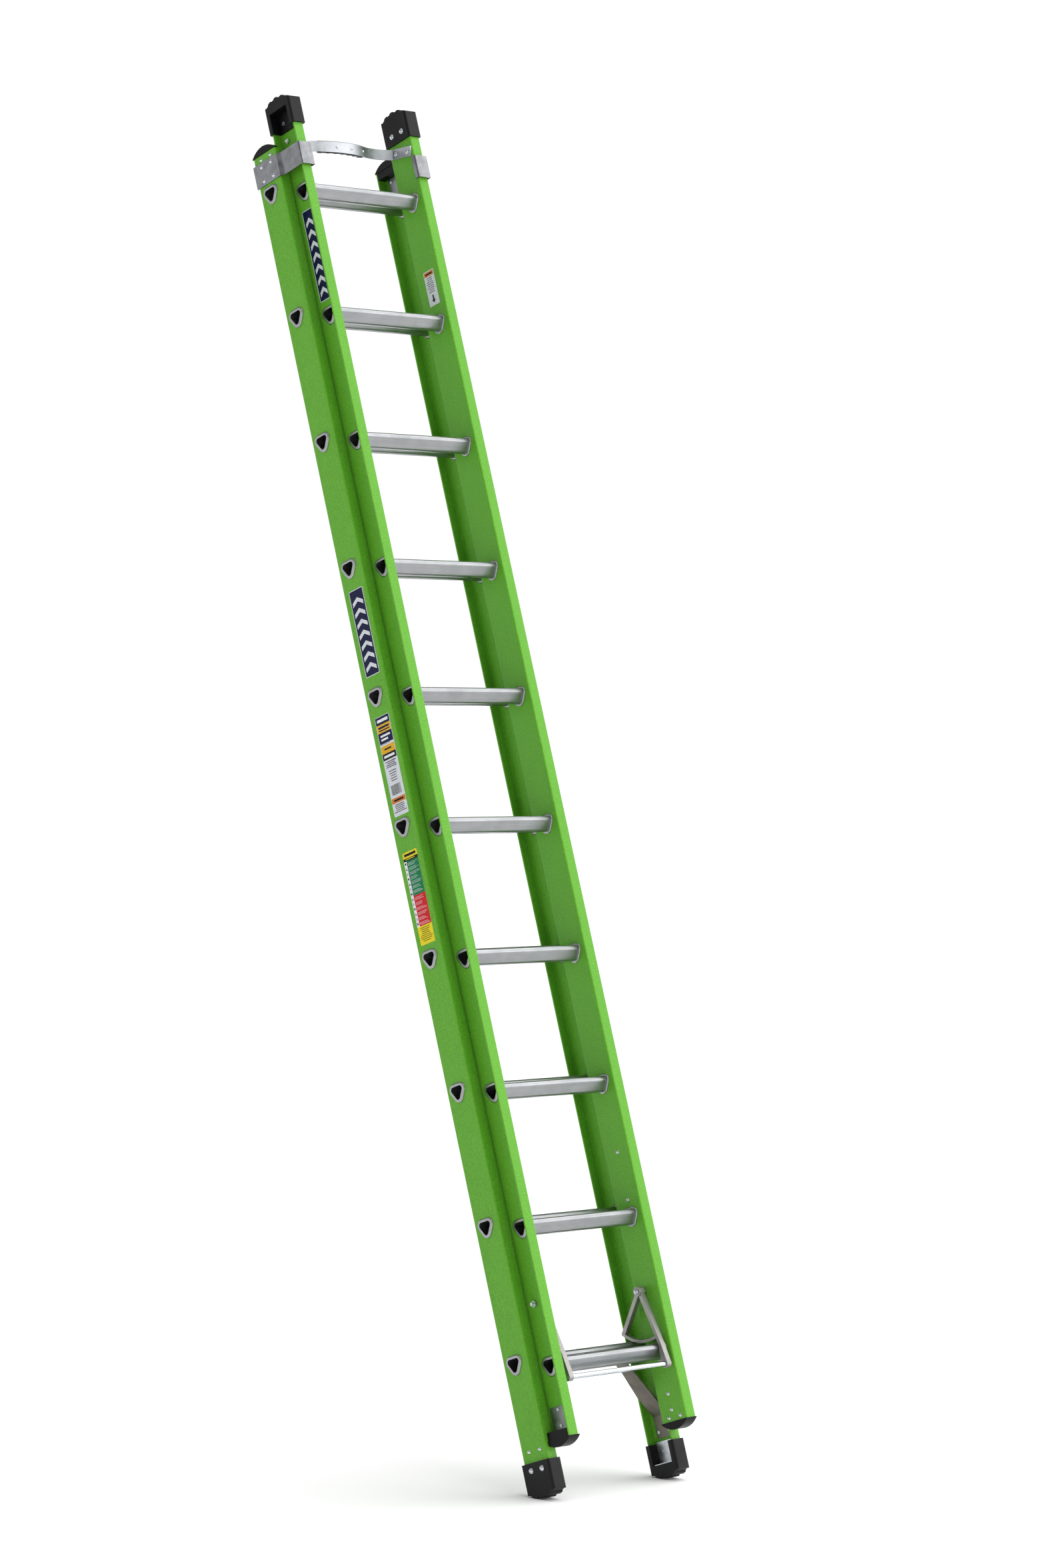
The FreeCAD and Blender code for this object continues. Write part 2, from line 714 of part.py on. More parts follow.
def strap_side(off):
    """One long side of the strap's edge view, from the right tab round the bow to the left tab."""
    bend_end = math.degrees(math.atan2(BEND_HUB.y - HORN_HUB.y, BEND_HUB.x - HORN_HUB.x))
    horn_end = math.degrees(math.atan2(BOW_HUB.y - HORN_HUB.y, BOW_HUB.x - HORN_HUB.x))
    bend = BEND_RADIUS + off
    horn = HORN_RADIUS + off
    tab_x = BEND_HUB.x + bend
    right = [
        Part.LineSegment(Vector(tab_x, TAB_END, 0), Vector(tab_x, BEND_HUB.y, 0)),
        Part.Arc(
            Vector(tab_x, BEND_HUB.y, 0), polar(BEND_HUB, bend, bend_end / 2), polar(BEND_HUB, bend, bend_end)
        ),
        Part.Arc(
            polar(BEND_HUB, bend, bend_end),
            polar(HORN_HUB, horn, (bend_end + horn_end) / 2),
            polar(HORN_HUB, horn, horn_end),
        ),
    ]
    start = polar(HORN_HUB, horn, horn_end)
    mirror_start = Vector(-start.x, start.y, 0)
    bow = Part.Arc(start, polar(BOW_HUB, BOW_RADIUS - off, -90), mirror_start)
    left = []
    for edge in reversed(right):
        first, last = edge.StartPoint, edge.EndPoint
        flipped = [Vector(-p.x, p.y, 0) for p in (last, first)]
        if isinstance(edge, Part.LineSegment):
            left.append(Part.LineSegment(flipped[0], flipped[1]))
        else:
            middle = edge.value((edge.FirstParameter + edge.LastParameter) / 2)
            left.append(Part.Arc(flipped[0], Vector(-middle.x, middle.y, 0), flipped[1]))
    return right + [bow] + left, tab_x


def make_strap():
    body = new_body("pole_strap")
    outer, outer_x = strap_side(STRAP)
    inner, inner_x = strap_side(-STRAP)
    ends = [
        Part.LineSegment(Vector(side * inner_x, TAB_END, 0), Vector(side * outer_x, TAB_END, 0))
        for side in (1, -1)
    ]
    width = dim("strap_width")
    pad(body, draw(body, "XY", -width / 2, [outer + inner + ends]), "dims.strap_width")
    holes = [circle(u, 0, STRAP_BOLT_RADIUS) for u in STRAP_BOLTS_U]
    for start in (-FLY_X - 1, FLY_X - 2 * STRAP - 1):
        pocket(body, draw(body, "YZ", start, holes), 2 * STRAP + 2)
    named(body, "pole_strap").Placement = STRAP_PLACE


def make_strap_pad():
    """Rubber behind the bow, its rear face scalloped so that a pole can't roll along it."""
    body = new_body("strap_pad")
    face = BOW_RADIUS - STRAP
    back = face - 6.5
    half = 24
    start, end = -90 - half, -90 + half
    sector = [
        Part.Arc(polar(BOW_HUB, face, start), polar(BOW_HUB, face, -90), polar(BOW_HUB, face, end)),
        Part.LineSegment(polar(BOW_HUB, face, end), polar(BOW_HUB, back, end)),
        Part.Arc(polar(BOW_HUB, back, end), polar(BOW_HUB, back, -90), polar(BOW_HUB, back, start)),
        Part.LineSegment(polar(BOW_HUB, back, start), polar(BOW_HUB, face, start)),
    ]
    tall = dim("strap_width") + 3
    pad(body, draw(body, "XY", -tall / 2, [sector]), tall)
    ribs = []
    for step in range(-3, 4):
        hub = polar(BOW_HUB, back + 1, -90 + step * 7)
        ribs.append(circle(hub.x, hub.y, 5))
    pad(body, draw(body, "XY", -tall / 2, ribs), tall)
    named(body, "strap_pad").Placement = STRAP_PLACE


make_strap()
make_strap_pad()


# ---------------------------------------------------------------- rung lock
LOCK_X = dim("lock_inner_face")
LOCK_DEPTH = dim("lock_thickness")


def make_lock():
    """A cast A-frame hung from a pivot: front leg down to the rod, rear leg seated over a base rung."""
    body = new_body("rung_lock_right")
    py, pz = PIVOT
    ry, rz = ROD
    boss = 10.5
    pad(body, draw(body, "YZ", LOCK_X - 3, [circle(py, pz, boss)]), LOCK_DEPTH + 4)
    knee = (13, 15, 4)
    heel = (118, 57, 5)
    bars = [
        [(py - 4, pz - 6, 4.5), knee],
        [knee, (ry, rz, 9)],
        [(py + 5, pz - 6, 5), heel],
    ]
    for bar in bars:
        pad(body, draw(body, "YZ", LOCK_X, [belt(bar)]), "dims.lock_thickness")
    hub = Vector(py, pz, 0)
    under, over = 112, 105.5
    front_end, rear_end = -105.5, -48
    middle = (front_end + rear_end) / 2
    cross = [
        Part.Arc(polar(hub, under, front_end), polar(hub, under, middle), polar(hub, under, rear_end)),
        Part.LineSegment(polar(hub, under, rear_end), polar(hub, over, rear_end)),
        Part.Arc(polar(hub, over, rear_end), polar(hub, over, middle), polar(hub, over, front_end)),
        Part.LineSegment(polar(hub, over, front_end), polar(hub, under, front_end)),
    ]
    pad(body, draw(body, "YZ", LOCK_X, [cross]), "dims.lock_thickness")
    bore = [circle(py, pz, dim("pivot_radius") + dim("pivot_clearance"))]
    pocket(body, draw(body, "YZ", LOCK_X - 4, bore), LOCK_DEPTH + 6)
    rod_hole = [circle(ry, rz, dim("rod_radius"))]
    pocket(body, draw(body, "YZ", LOCK_X - 1, rod_hole), LOCK_DEPTH + 2)
    return named(body, "rung_lock_right")


lock = make_lock()
mirrored(lock, "rung_lock_left")

rod = doc.addObject("Part::Cylinder", "lock_rod")
rod.setExpression("Radius", "dims.rod_radius")
rod.setExpression("Height", "2 * (dims.lock_inner_face + dims.lock_thickness + 1)")
named(rod, "lock_rod")
rod_start = Vector(-(LOCK_X + LOCK_DEPTH + 1), *ROD)
rod.Placement = LEANED.multiply(Placement(rod_start, Rotation(Vector(0, 1, 0), 90)))


# ---------------------------------------------------------------- fasteners
def hex_nut(across, thick, bore, base, axis):
    """A hexagon nut standing on base along axis, given its corner radius."""
    ring = [
        Vector(across * math.cos(math.radians(60 * k)), across * math.sin(math.radians(60 * k)), 0)
        for k in range(7)
    ]
    prism = Part.Face(Part.makePolygon(ring)).extrude(Vector(0, 0, thick))
    cone = Part.makeCone(across * 1.5, across * 0.86, thick * 1.6, Vector(0, 0, 0))
    nut = prism.common(cone).cut(Part.makeCylinder(bore, thick + 2, Vector(0, 0, -1)))
    nut.Placement = Placement(base, Rotation(Vector(0, 0, 1), axis))
    return nut


def rivets(face_x, places, shank, grip, head, outward=1, tail=1.8):
    """Rivets through both webs; outward is 1 where the heads face away from the ladder's middle."""
    shapes = []
    for start, side in both_sides([(face_x, y, z) for y, z in places]):
        axis = Vector(side * outward, 0, 0)
        shapes.append(fastener(start, axis, head, 0, shank, grip, tail))
    return shapes


def bolts(label, places, head_x, tip_x, shank, head, rim):
    """Round-headed bolts with their heads inside the ladder and their tips outside the fly's web."""
    shapes = []
    for start, side in both_sides([(head_x, y, z) for y, z in places]):
        shapes.append(fastener(start, Vector(-side, 0, 0), head, rim, shank, tip_x - head_x))
    return group(label, shapes)


def nuts(label, places, face_x, across, thick, bore):
    shapes = []
    for start, side in both_sides([(face_x, y, z) for y, z in places]):
        shapes.append(hex_nut(across, thick, bore, start, Vector(side, 0, 0)))
    return group(label, shapes)


LARGE_HEAD = 6.5
SMALL_HEAD = 4.6
TAIL = 1.8
foot_grip = BOOT_SIDE + WALL + 4 + 2
boot_grip = BOOT_SIDE + WALL + 4
group("foot_rivets", rivets(BASE_X + BOOT_SIDE, FOOT_RIVETS, LARGE, foot_grip, LARGE_HEAD))
group("boot_rivets", rivets(FLY_X - BOOT_SIDE, BOOT_RIVETS, LARGE, boot_grip, LARGE_HEAD, -1))

brace_rivets = rivets(BASE_X, BRACE_RIVETS, SMALL, WALL + SHEET, SMALL_HEAD)
for side in (1, -1):
    seat = Vector(side * BRACE_TAB_X, BASE_RUNG_Y - 6, KEEL - SHEET)
    brace_rivets.append(fastener(seat, Vector(0, 0, -1), SMALL_HEAD, 0, SMALL, SHEET))
group("brace_rivets", brace_rivets)
bracket_grip = WALL + 2 * SHEET
group("bracket_rivets", rivets(BASE_X + SHEET, BRACKET_RIVETS, SMALL, bracket_grip, SMALL_HEAD))
group("base_cap_rivets", rivets(BASE_X, BASE_CAP_RIVETS, SMALL, WALL, SMALL_HEAD, 1, 0))

fly_rivets = rivets(FLY_X, FLY_PLATE_RIVETS, SMALL, WALL + PLATE, SMALL_HEAD, -1)
fly_rivets += rivets(FLY_X, FLY_CAP_RIVETS, SMALL, WALL, SMALL_HEAD, -1, 0)
for y, z in STOP_RIVETS:
    fly_rivets.append(fastener(Vector(FLY_X, y, z), Vector(-1, 0, 0), SMALL_HEAD, 0, SMALL, WALL, TAIL))
group("fly_web_rivets", fly_rivets)

strap_rivets = []
for x in (-22, 22, 68):
    angle = math.degrees(math.asin(x / (BOW_RADIUS + STRAP))) - 90
    seat = polar(BOW_HUB, BOW_RADIUS + STRAP, angle)
    strap_rivets.append(fastener(seat, seat - BOW_HUB, 3.2, 0.3, 0, 0))
group("strap_rivets", strap_rivets).Placement = STRAP_PLACE

strap_places = [tilted(u, 0) for u in STRAP_BOLTS_U]
strap_face = FLY_X - 2 * STRAP
bolts("strap_bolts", strap_places, strap_face, FLY_X + WALL + 8, STRAP_BOLT_RADIUS, 5.6, 1.2)
nuts("strap_nuts", strap_places, FLY_X + WALL, 6, 5, STRAP_BOLT_RADIUS)
bolts("lock_pivot_bolts", [PIVOT], LOCK_X - 3.5, FLY_X + WALL + 12, dim("pivot_radius"), 6.2, 1.2)
nuts("lock_nuts", [PIVOT], FLY_X + WALL, 8, 6.5, dim("pivot_radius"))

spacers = []
for start, side in both_sides([(FLY_X, *PIVOT)]):
    inward = Vector(-side, 0, 0)
    sleeve = Part.makeCylinder(7.5, 7, start, inward)
    spacers.append(sleeve.cut(Part.makeCylinder(dim("pivot_radius"), 7, start, inward)))
group("lock_spacers", spacers)

# ---------------------------------------------------------------- checks and export
doc.recompute()
for feature in doc.Objects:
    if "Invalid" in feature.State or "Error" in feature.State:
        raise RuntimeError(f"{feature.Name} did not recompute: {feature.State}")
for feature in sub_parts:
    if feature.Shape.isNull() or not feature.Shape.isValid():
        raise RuntimeError(f"{feature.Label} has no valid shape")
for feature in sub_parts:
    feature.Shape.exportStep(f"parts/{feature.Label}.step")
    print(feature.Label, len(feature.Shape.Solids), round(feature.Shape.Volume / 1000, 1), "cm3")
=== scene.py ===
"""Two-section fibreglass extension ladder: surface materials, printed labels and a plain studio."""
import json
import math
import random

import bmesh
import bpy
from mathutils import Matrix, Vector


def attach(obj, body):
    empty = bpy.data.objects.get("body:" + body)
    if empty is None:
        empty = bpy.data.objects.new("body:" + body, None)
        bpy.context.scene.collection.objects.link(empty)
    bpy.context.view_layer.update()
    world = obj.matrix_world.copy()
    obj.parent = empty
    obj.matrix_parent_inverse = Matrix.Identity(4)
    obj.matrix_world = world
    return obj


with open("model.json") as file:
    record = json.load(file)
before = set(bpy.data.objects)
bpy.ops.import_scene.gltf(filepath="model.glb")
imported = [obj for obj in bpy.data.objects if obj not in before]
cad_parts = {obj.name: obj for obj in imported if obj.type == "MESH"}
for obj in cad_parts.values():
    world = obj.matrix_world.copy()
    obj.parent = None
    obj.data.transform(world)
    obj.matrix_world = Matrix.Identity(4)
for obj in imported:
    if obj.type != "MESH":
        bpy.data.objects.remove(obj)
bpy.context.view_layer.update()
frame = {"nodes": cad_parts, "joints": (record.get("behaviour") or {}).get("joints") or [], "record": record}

NODES = frame["nodes"]
SCENE = bpy.context.scene
MM = 0.001

# ---------------------------------------------------------------- rail coordinates
# X across the rungs, Y from the climber towards the wall, Z up the rails, in millimetres.
# Y = 0 is the fly section's front face, and Z = 0 is the fly's lowest rung.
RAIL_UP = Vector(frame["joints"][0]["axis"]).normalized()
RAIL_BACK = Vector((0, RAIL_UP.z, -RAIL_UP.y))
LEAN = math.atan2(RAIL_UP.y, RAIL_UP.z)
FLY_BOTTOM = -153


def reach(node, axis):
    """How far a CAD node reaches along axis, lowest and highest, in metres."""
    values = [vertex.co.dot(axis) for vertex in NODES[node].data.vertices]
    return min(values), max(values)


fly_front = reach("fly_stile_right", RAIL_BACK)[0]
fly_foot = reach("fly_stile_right", RAIL_UP)[0]
RAIL_ORIGIN = RAIL_BACK * fly_front + RAIL_UP * (fly_foot - FLY_BOTTOM * MM)

# The web faces that carry labels, along X. The fly's channels open outwards and the base's open inwards.
ACROSS = Vector((1, 0, 0))
WALL = 4
BASE_LEFT = reach("base_stile_left", ACROSS)[0] / MM
FLY_LEFT = reach("fly_stile_left", ACROSS)[1] / MM - WALL
FLY_RIGHT = reach("fly_stile_right", ACROSS)[0] / MM


def at(x, y, z):
    """A point given in rail coordinates."""
    return RAIL_ORIGIN + Vector((x * MM, 0, 0)) + RAIL_BACK * (y * MM) + RAIL_UP * (z * MM)


# ---------------------------------------------------------------- camera
CAMERA_PLACE = (-6.344, -6.683, 1.615)
CAMERA_AIM = Vector((0.67457, 0.73813, -0.01073))
SENSOR_HEIGHT = 36
LENS = 98.33
FARTHEST = 200


def make_camera():
    """An upright camera off the ladder's left front, looking along CAMERA_AIM through a long lens."""
    data = bpy.data.cameras.new("camera")
    camera = bpy.data.objects.new("camera", data)
    SCENE.collection.objects.link(camera)
    data.sensor_fit = "VERTICAL"
    data.sensor_height = SENSOR_HEIGHT
    data.lens = LENS
    data.clip_end = FARTHEST
    camera.location = CAMERA_PLACE
    camera.rotation_euler = CAMERA_AIM.to_track_quat("-Z", "Y").to_euler()
    SCENE.camera = camera


make_camera()


# ---------------------------------------------------------------- material helpers
def colour(red, green, blue):
    """An sRGB colour, 0 to 255, as the linear values that a shader takes."""
    def linear(value):
        value /= 255
        return value / 12.92 if value <= 0.04045 else ((value + 0.055) / 1.055) ** 2.4

    return (linear(red), linear(green), linear(blue), 1)


# A colour Mix node's sockets, by number, because its other sockets share their names.
MIX_FACTOR = 0
MIX_FIRST = 6
MIX_SECOND = 7
MIX_RESULT = 2


class Paint:
    """One material and short calls that add nodes to it."""

    def __init__(self, name, metallic=0.0, roughness=0.5):
        self.material = bpy.data.materials.new(name)
        self.material.use_nodes = True
        self.tree = self.material.node_tree
        self.shader = self.tree.nodes["Principled BSDF"]
        self.shader.inputs["Metallic"].default_value = metallic
        self.shader.inputs["Roughness"].default_value = roughness
        self.place = self.node("ShaderNodeTexCoord").outputs["Object"]

    def node(self, kind, **values):
        node = self.tree.nodes.new(kind)
        for key, value in values.items():
            setattr(node, key, value)
        return node

    def feed(self, source, target):
        self.tree.links.new(source, target)

    def grain(self, scale):
        """Object coordinates leaned into the rail frame and stretched by scale along X, Y and Z."""
        turned = self.node("ShaderNodeMapping", vector_type="POINT")
        turned.inputs["Rotation"].default_value = (LEAN, 0, 0)
        self.feed(self.place, turned.inputs["Vector"])
        stretched = self.node("ShaderNodeMapping", vector_type="POINT")
        stretched.inputs["Scale"].default_value = scale
        self.feed(turned.outputs["Vector"], stretched.inputs["Vector"])
        return stretched.outputs["Vector"]

    def noise(self, scale, detail=4, roughness=0.55):
        """Noise from 0 to 1, with scale blotches to the metre along X, Y and Z."""
        node = self.node("ShaderNodeTexNoise")
        node.inputs["Scale"].default_value = 1
        node.inputs["Detail"].default_value = detail
        node.inputs["Roughness"].default_value = roughness
        self.feed(self.grain(scale), node.inputs["Vector"])
        return node.outputs["Fac"]

    def ramp(self, source, stops):
        """A value turned into colours: stops are (place, colour)."""
        node = self.node("ShaderNodeValToRGB")
        while len(node.color_ramp.elements) < len(stops):
            node.color_ramp.elements.new(0.5)
        for element, (place, value) in zip(node.color_ramp.elements, stops):
            element.position = place
            element.color = value
        self.feed(source, node.inputs["Fac"])
        return node.outputs["Color"]

    def grey(self, source, low, high, start=0.3, end=0.7):
        """A value spread from low to high between start and end of the source."""
        node = self.node("ShaderNodeMapRange")
        node.inputs["From Min"].default_value = start
        node.inputs["From Max"].default_value = end
        node.inputs["To Min"].default_value = low
        node.inputs["To Max"].default_value = high
        self.feed(source, node.inputs["Value"])
        return node.outputs["Result"]

    def blend(self, factor, first, second):
        """The first colour turned into the second by factor; each is a socket or a fixed value."""
        node = self.node("ShaderNodeMix", data_type="RGBA")
        for index, value in ((MIX_FACTOR, factor), (MIX_FIRST, first), (MIX_SECOND, second)):
            if isinstance(value, bpy.types.NodeSocket):
                self.feed(value, node.inputs[index])
            else:
                node.inputs[index].default_value = value
        return node.outputs[MIX_RESULT]

    def bump(self, heights):
        """Bumps of (source, depth in millimetres), one on top of the other."""
        normal = None
        for source, depth in heights:
            node = self.node("ShaderNodeBump")
            node.inputs["Strength"].default_value = 1
            node.inputs["Distance"].default_value = depth * MM
            self.feed(source, node.inputs["Height"])
            if normal:
                self.feed(normal, node.inputs["Normal"])
            normal = node.outputs["Normal"]
        self.feed(normal, self.shader.inputs["Normal"])

    def base(self, source):
        self.feed(source, self.shader.inputs["Base Color"])

    def rough(self, source):
        self.feed(source, self.shader.inputs["Roughness"])

    def plain(self, socket, value):
        self.shader.inputs[socket].default_value = value


# ---------------------------------------------------------------- materials
def fibreglass():
    """Pultruded glass fibre: even green with fine veil mottle, lengthwise strands and a waxy sheen."""
    paint = Paint("fibreglass", roughness=0.4)
    veil = paint.noise((520, 520, 260), 6, 0.62)
    strands = paint.noise((700, 700, 16), 5, 0.6)
    cloudy = paint.noise((14, 14, 4), 3)
    greens = [(0.34, colour(76, 146, 30)), (0.5, colour(94, 166, 42)), (0.66, colour(114, 184, 58))]
    green = paint.ramp(veil, greens)
    streaked = paint.blend(paint.grey(strands, 0, 0.35), green, colour(80, 150, 32))
    paint.base(paint.blend(paint.grey(cloudy, 0, 0.3), streaked, colour(104, 176, 50)))
    paint.rough(paint.grey(veil, 0.34, 0.5))
    paint.plain("Specular IOR Level", 0.24)
    paint.bump([(strands, 0.04), (veil, 0.06), (cloudy, 0.4)])
    return paint.material


def extruded():
    """Aluminium extrusion: die lines along X and soft clouds of handling."""
    paint = Paint("extruded_aluminium", metallic=1, roughness=0.3)
    lines = paint.noise((2, 900, 900), 4, 0.7)
    clouds = paint.noise((22, 40, 40), 4)
    bright = paint.ramp(lines, [(0.2, colour(142, 144, 146)), (0.8, colour(176, 177, 179))])
    paint.base(paint.blend(paint.grey(clouds, 0, 0.4), bright, colour(138, 140, 143)))
    paint.rough(paint.grey(clouds, 0.26, 0.42))
    paint.plain("Anisotropic", 0.45)
    paint.bump([(lines, 0.015), (clouds, 0.02)])
    return paint.material


def rubber(name):
    """Moulded black rubber: fine stipple and a faint grey bloom that is duller in patches."""
    paint = Paint(name, roughness=0.5)
    stipple = paint.noise((900, 900, 900), 3)
    bloom = paint.noise((18, 18, 18), 5, 0.6)
    paint.base(paint.ramp(bloom, [(0.3, colour(5, 5, 7)), (0.7, colour(13, 13, 17))]))
    paint.rough(paint.grey(bloom, 0.38, 0.58))
    paint.plain("Specular IOR Level", 0.22)
    paint.bump([(stipple, 0.05), (bloom, 0.1)])
    return paint.material


def cap_plastic():
    """Black moulded plastic with a faint grain and softer shine than the rubber."""
    paint = Paint("cap_plastic", roughness=0.35)
    stipple = paint.noise((600, 600, 600), 2)
    bloom = paint.noise((30, 30, 30), 3)
    paint.base(paint.ramp(bloom, [(0.3, colour(4, 4, 5)), (0.7, colour(10, 10, 11))]))
    paint.rough(paint.grey(bloom, 0.28, 0.42))
    paint.plain("Specular IOR Level", 0.15)
    paint.bump([(stipple, 0.04)])
    return paint.material


def milled(name, dark, light, along, roughness):
    """Rolled sheet metal: rolling lines in one direction and blotches that are duller in places."""
    paint = Paint(name, metallic=1, roughness=roughness)
    lines = paint.noise(along, 4, 0.65)
    blotches = paint.noise((45, 45, 45), 5, 0.6)
    sheet = paint.ramp(blotches, [(0.3, dark), (0.7, light)])
    paint.base(paint.blend(paint.grey(lines, 0, 0.35), sheet, dark))
    paint.rough(paint.grey(blotches, roughness - 0.08, roughness + 0.1))
    paint.bump([(lines, 0.02), (blotches, 0.04)])
    return paint.material


def casting():
    """Sand-grained aluminium casting, dull grey with darker pits."""
    paint = Paint("lock_casting", metallic=0.85, roughness=0.48)
    grains = paint.noise((420, 420, 420), 5, 0.7)
    patches = paint.noise((30, 30, 30), 4)
    greys = [(0.3, colour(138, 136, 134)), (0.5, colour(158, 156, 153)), (0.7, colour(176, 174, 171))]
    skin = paint.ramp(grains, greys)
    paint.base(paint.blend(paint.grey(patches, 0, 0.4), skin, colour(146, 144, 141)))
    paint.rough(paint.grey(patches, 0.4, 0.58))
    paint.bump([(grains, 0.06), (patches, 0.2)])
    return paint.material


def zinc(name, roughness):
    """Bright zinc plate with a faint blue cast and fine spangle."""
    paint = Paint(name, metallic=1, roughness=roughness)
    spangle = paint.noise((350, 350, 350), 4, 0.6)
    haze = paint.noise((60, 90, 90), 3)
    plate = paint.ramp(spangle, [(0.3, colour(188, 193, 200)), (0.7, colour(222, 226, 231))])
    paint.base(paint.blend(paint.grey(haze, 0, 0.35), plate, colour(170, 178, 186)))
    paint.rough(paint.grey(haze, roughness - 0.06, roughness + 0.1))
    paint.bump([(spangle, 0.02)])
    return paint.material


GRAIN_UP = (800, 800, 12)
GRAIN_UP_SHORT = (600, 600, 30)
GRAIN_ACROSS = (8, 500, 800)
SHEET_COLOURS = colour(116, 117, 120), colour(158, 159, 162)
BRACE_COLOURS = colour(108, 103, 96), colour(142, 136, 128)
STRAP_COLOURS = colour(158, 161, 166), colour(196, 199, 203)
MATERIALS = {
    "fibreglass": fibreglass(),
    "rung_aluminium": extruded(),
    "boot_rubber": rubber("boot_rubber"),
    "cap_plastic": cap_plastic(),
    "sheet_aluminium": milled("sheet_aluminium", *SHEET_COLOURS, GRAIN_UP_SHORT, 0.36),
    "brace_aluminium": milled("brace_aluminium", *BRACE_COLOURS, GRAIN_UP, 0.52),
    "zinc_steel": zinc("zinc_steel", 0.34),
    "strap_steel": milled("strap_steel", *STRAP_COLOURS, GRAIN_ACROSS, 0.4),
    "strap_rubber": rubber("strap_rubber"),
    "lock_casting": casting(),
    "rod_steel": zinc("rod_steel", 0.16),
    "fastener_steel": zinc("fastener_steel", 0.26),
}


def dress(thing, slot):
    """Gives a thing its slot's material in every material slot it has."""
    if not thing.data.materials:
        thing.data.materials.append(MATERIALS[slot])
    for index in range(len(thing.material_slots)):
        thing.material_slots[index].material = MATERIALS[slot]


for entry in frame["record"]["subparts"]:
    dress(NODES[entry["node"]], entry["material_slot"])


# ---------------------------------------------------------------- labels
THIN_PRINT = 0.86


def ink(name, shade):
    """A printed label colour: nearly flat, with the print's slight unevenness and a satin surface."""
    paint = Paint(name, roughness=0.35)
    uneven = paint.noise((160, 160, 160), 4)
    darker = tuple(channel * THIN_PRINT for channel in shade[:3]) + (1,)
    paint.base(paint.blend(paint.grey(uneven, 0, 1), shade, darker))
    paint.rough(paint.grey(uneven, 0.4, 0.52))
    paint.plain("Specular IOR Level", 0.15)
    return paint.material


INKS = {
    "white": ink("ink_white", colour(214, 218, 224)),
    "navy": ink("ink_navy", colour(14, 20, 62)),
    "gold": ink("ink_gold", colour(222, 172, 40)),
    "black": ink("ink_black", colour(20, 20, 22)),
    "orange": ink("ink_orange", colour(206, 120, 42)),
    "yellow": ink("ink_yellow", colour(232, 214, 36)),
    "green": ink("ink_green", colour(6, 122, 78)),
    "red": ink("ink_red", colour(204, 28, 42)),
    "pale": ink("ink_pale", colour(232, 235, 238)),
}
# Heights above the web in millimetres: the film's back and face, and the step from one print to the next.
FILM_BACK = 0.02
FILM_FACE = 0.25
LAYER = 0.06
PRINT = 1
OVERPRINT = 2

FILM_CORNER = 2.5
CORNER_STEPS = 4
SHORTEST_ROW = 0.6
WORD_LENGTHS = (1.6, 4.6)
WORD_GAP = 0.9
SHORTEST_WORD = 0.8


